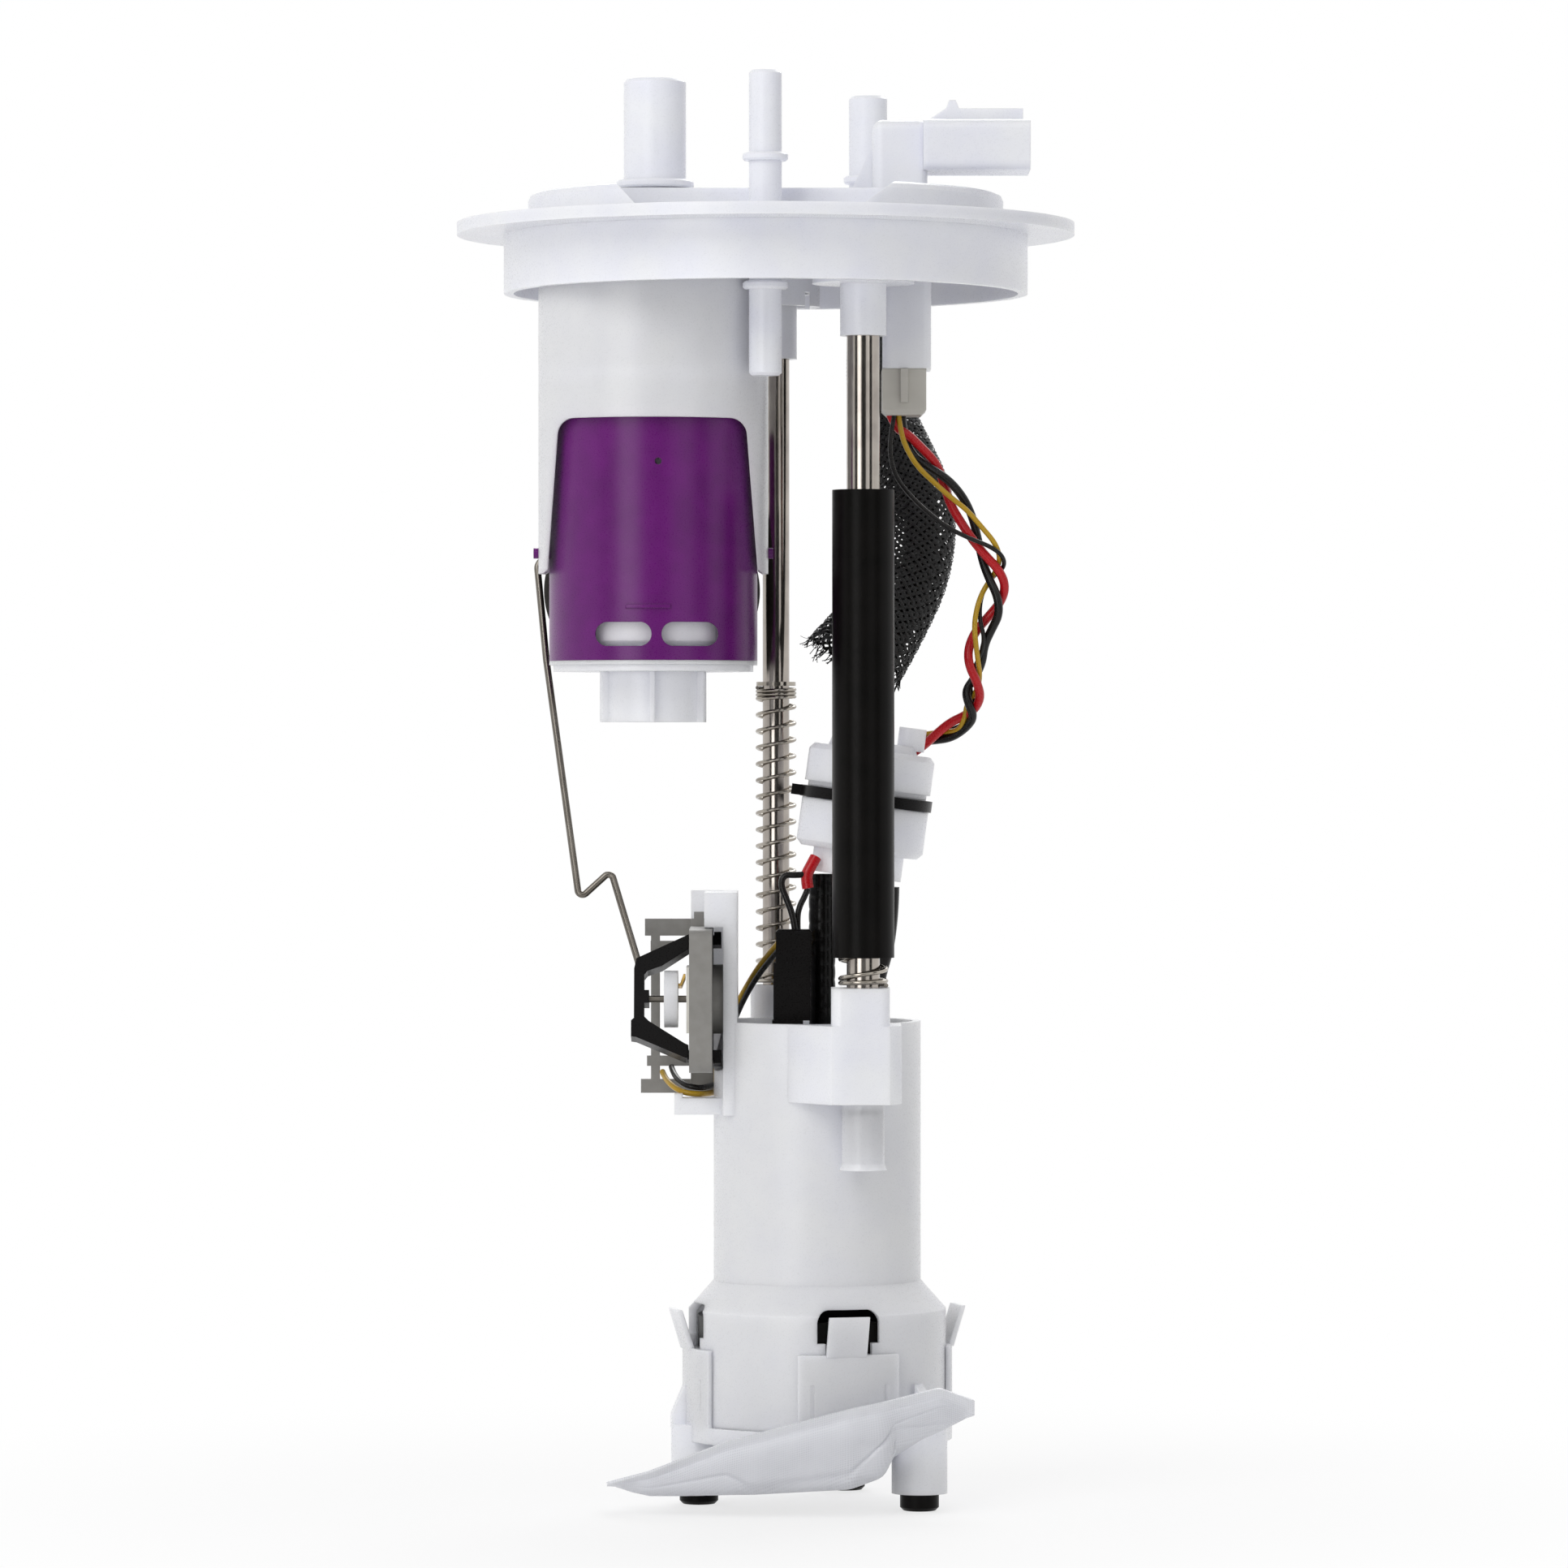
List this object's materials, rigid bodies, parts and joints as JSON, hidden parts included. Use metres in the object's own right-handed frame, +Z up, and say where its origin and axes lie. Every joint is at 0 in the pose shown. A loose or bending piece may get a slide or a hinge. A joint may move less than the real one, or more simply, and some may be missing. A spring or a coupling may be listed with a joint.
{
  "type": "fuel pump module",
  "caption": "Round tank cover with ports and connector, guide rods carrying a sprung pump reservoir, level sender with float arm, vent valve and strainer.",
  "frame": {"origin": "centre of the cover plate's sealing face, which rests on the tank", "axes": "+Z up out of the tank, +X towards the connector's mouth, -Y towards the front"},
  "size_m": [0.152, 0.152, 0.3492],
  "materials": {
    "white_moulding": "satin acetal, slightly translucent",
    "violet_moulding": "satin moulded acetal",
    "grey_moulding": "matt moulded nylon",
    "plug_moulding": "matt moulded nylon",
    "black_moulding": "satin moulded",
    "black_rubber": "matt rubber",
    "black_hose": "satin nylon hose",
    "bright_steel": "ground bar",
    "spring_steel": "drawn wire",
    "can_steel": "plated sheet",
    "iron": "laminated iron",
    "ferrite": "sintered ferrite",
    "brass": "stamped",
    "ceramic": "fired ceramic",
    "black_foam": "closed-cell foam",
    "filter_mesh": "welded nylon mesh",
    "braid": "woven black monofilament",
    "harness_leads": "insulated leads, red, black and yellow"
  },
  "bodies": {
    "cover": {"tank_cover": "white_moulding", "cover_flange": "white_moulding", "vent_port": "white_moulding", "connector_housing": "white_moulding", "connector_terminals": "brass", "harness_plug": "plug_moulding", "vent_valve_cage": "white_moulding", "vent_valve_body": "violet_moulding", "vent_valve_base": "white_moulding", "vent_valve_seal": "black_rubber", "vent_valve_spring": "spring_steel", "front_guide_rod": "bright_steel", "rear_guide_rod": "bright_steel", "rod_clips": "spring_steel", "spring_retainers": "spring_steel", "front_spring": "spring_steel", "rear_spring": "spring_steel", "supply_hose": "black_hose", "braided_sleeve": "braid", "harness_bundle": "harness_leads"},
    "valve_float": {"vent_valve_float": "white_moulding"},
    "spring_cover": {"spring_sleeve": "black_rubber"},
    "reservoir_unit": {"reservoir": "white_moulding", "base_cap": "white_moulding", "rubber_feet": "black_rubber", "strainer_sock": "filter_mesh", "strainer_neck": "white_moulding", "pump_can": "can_steel", "pump_inlet_cover": "can_steel", "pump_chamber_plate": "can_steel", "pump_outlet_cap": "black_moulding", "magnets": "ferrite", "brushes": "ferrite", "pump_isolator": "black_rubber", "sender_housing": "grey_moulding", "resistor_card": "ceramic", "pump_connector": "black_moulding", "regulator_upper_shell": "white_moulding", "regulator_lower_shell": "white_moulding", "regulator_valve": "can_steel", "cable_tie": "black_moulding", "pump_hose": "black_hose", "return_hose": "black_hose", "sender_leads": "harness_leads", "pump_leads": "harness_leads"},
    "rotor": {"armature": "iron", "impeller": "black_moulding"},
    "float_arm": {"sender_carrier": "black_moulding", "float_arm_wire": "bright_steel", "float": "black_foam", "pivot_hub": "white_moulding", "wiper_contact": "brass"}
  },
  "joints": [
    {"name": "reservoir_slide", "type": "slide", "parent": "cover", "child": "reservoir_unit", "axis": [0, 0, 1], "range_m": [0, 0.036], "stiffness_N_per_m": 500, "springref_m": -0.03, "deforming": ["front_spring", "rear_spring", "supply_hose", "braided_sleeve", "harness_bundle"]},
    {"name": "sleeve_slide", "type": "slide", "parent": "cover", "child": "spring_cover", "axis": [0, 0, 1], "range_m": [0, 0.0306]},
    {"name": "float_arm_swing", "type": "hinge", "parent": "reservoir_unit", "child": "float_arm", "pos_m": [-0.0152, -0.006, -0.1878], "axis": [-1, 0, 0], "range_deg": [0, 110]},
    {"name": "vent_float_lift", "type": "slide", "parent": "cover", "child": "valve_float", "axis": [0, 0, 1], "range_m": [0, 0.003], "deforming": ["vent_valve_spring"]},
    {"name": "pump_spin", "type": "hinge", "parent": "reservoir_unit", "child": "rotor", "pos_m": [0.0127, 0, -0.24], "axis": [0, 0, 1], "continuous": true}
  ],
  "couplings": [
    {"joint": "sleeve_slide", "follows": "reservoir_slide", "ratio": 0.85}
  ]
}
